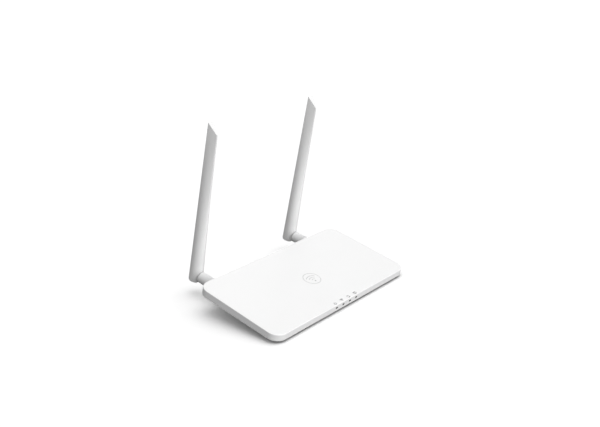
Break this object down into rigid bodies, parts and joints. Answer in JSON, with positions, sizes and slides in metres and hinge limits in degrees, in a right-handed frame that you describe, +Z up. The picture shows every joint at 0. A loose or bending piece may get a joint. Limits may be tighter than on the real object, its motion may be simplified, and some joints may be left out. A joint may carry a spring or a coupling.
{
  "type": "wifi range extender",
  "caption": "Thin tilted rectangular slab on a recessed pedestal, with swivelling and folding tapered antennas at its rear corners, indicator windows in front and ports behind.",
  "frame": {"origin": "on the floor plane under the middle of the object's bounding box, with the antennas upright", "axes": "+X runs along the slab's long front edge, towards the right antenna as seen from the front; +Y runs back, from the front edge to the antennas; +Z is up"},
  "size_m": [0.17, 0.1202, 0.1522],
  "materials": {
    "shell": "white, satin, very fine mould texture",
    "antenna": "white, satin",
    "rubber": "dark grey, matt",
    "steel": "plain, bright",
    "brass": "plain",
    "board": "green solder mask on glass-fibre laminate",
    "chip": "black moulded package",
    "black": "black connector plastic",
    "clear": "clear, slightly smoky",
    "cable": "black coax jacket",
    "label": "plain pale film, no lettering"
  },
  "bodies": {
    "housing": {"top_cover": "shell", "bottom_cover": "shell", "foot_1": "rubber", "foot_2": "rubber", "foot_3": "rubber", "foot_4": "rubber", "cover_screw_1": "steel", "cover_screw_2": "steel", "cover_screw_3": "steel", "cover_screw_4": "steel", "board_screw_1": "steel", "board_screw_2": "steel", "rating_label": "label", "main_board": "board", "rf_shield": "steel", "wifi_chip": "chip", "flash_chip": "chip", "crystal": "steel", "ethernet_transformer": "chip", "inductor": "chip", "capacitor_1": "steel", "capacitor_2": "steel", "led_1": "clear", "led_2": "clear", "led_3": "clear", "led_4": "clear", "light_pipe": "clear", "lan_jack": "black", "lan_contacts": "brass", "power_jack": "black", "power_jack_pin": "brass", "wps_switch": "chip", "reset_switch": "chip", "left_rf_connector": "brass", "left_pigtail": "cable", "right_rf_connector": "brass", "right_pigtail": "cable"},
    "left_swivel": {"left_stub": "antenna", "left_friction_washer": "steel", "left_retaining_clip": "steel"},
    "left_antenna": {"left_antenna_cover": "antenna", "left_radiator": "brass", "left_hinge_pin_inner": "steel", "left_hinge_pin_outer": "steel"},
    "right_swivel": {"right_stub": "antenna", "right_friction_washer": "steel", "right_retaining_clip": "steel"},
    "right_antenna": {"right_antenna_cover": "antenna", "right_radiator": "brass", "right_hinge_pin_inner": "steel", "right_hinge_pin_outer": "steel"},
    "wps_cap": {"wps_button": "shell", "wps_switch_plunger": "black"},
    "reset_cap": {"reset_button": "shell", "reset_switch_plunger": "black"}
  },
  "joints": [
    {"name": "left_swivel_turn", "type": "hinge", "parent": "housing", "child": "left_swivel", "pos_m": [-0.0596, 0.05321, 0.01782], "axis": [0, 0.9796, 0.2011], "range_deg": [-90, 45]},
    {"name": "left_fold", "type": "hinge", "parent": "left_swivel", "child": "left_antenna", "pos_m": [-0.0596, 0.05353, 0.01625], "axis": [-1, 0, 0], "range_deg": [0, 90]},
    {"name": "right_swivel_turn", "type": "hinge", "parent": "housing", "child": "right_swivel", "pos_m": [0.0596, 0.05321, 0.01782], "axis": [0, 0.9796, 0.2011], "range_deg": [-45, 90]},
    {"name": "right_fold", "type": "hinge", "parent": "right_swivel", "child": "right_antenna", "pos_m": [0.0596, 0.05353, 0.01625], "axis": [-1, 0, 0], "range_deg": [0, 90]},
    {"name": "wps_press", "type": "slide", "parent": "housing", "child": "wps_cap", "axis": [0, -0.9796, -0.2011], "range_m": [0, 0.0006], "stiffness_N_per_m": 1000},
    {"name": "reset_press", "type": "slide", "parent": "housing", "child": "reset_cap", "axis": [0, -0.9796, -0.2011], "range_m": [0, 0.0004], "stiffness_N_per_m": 1000}
  ]
}
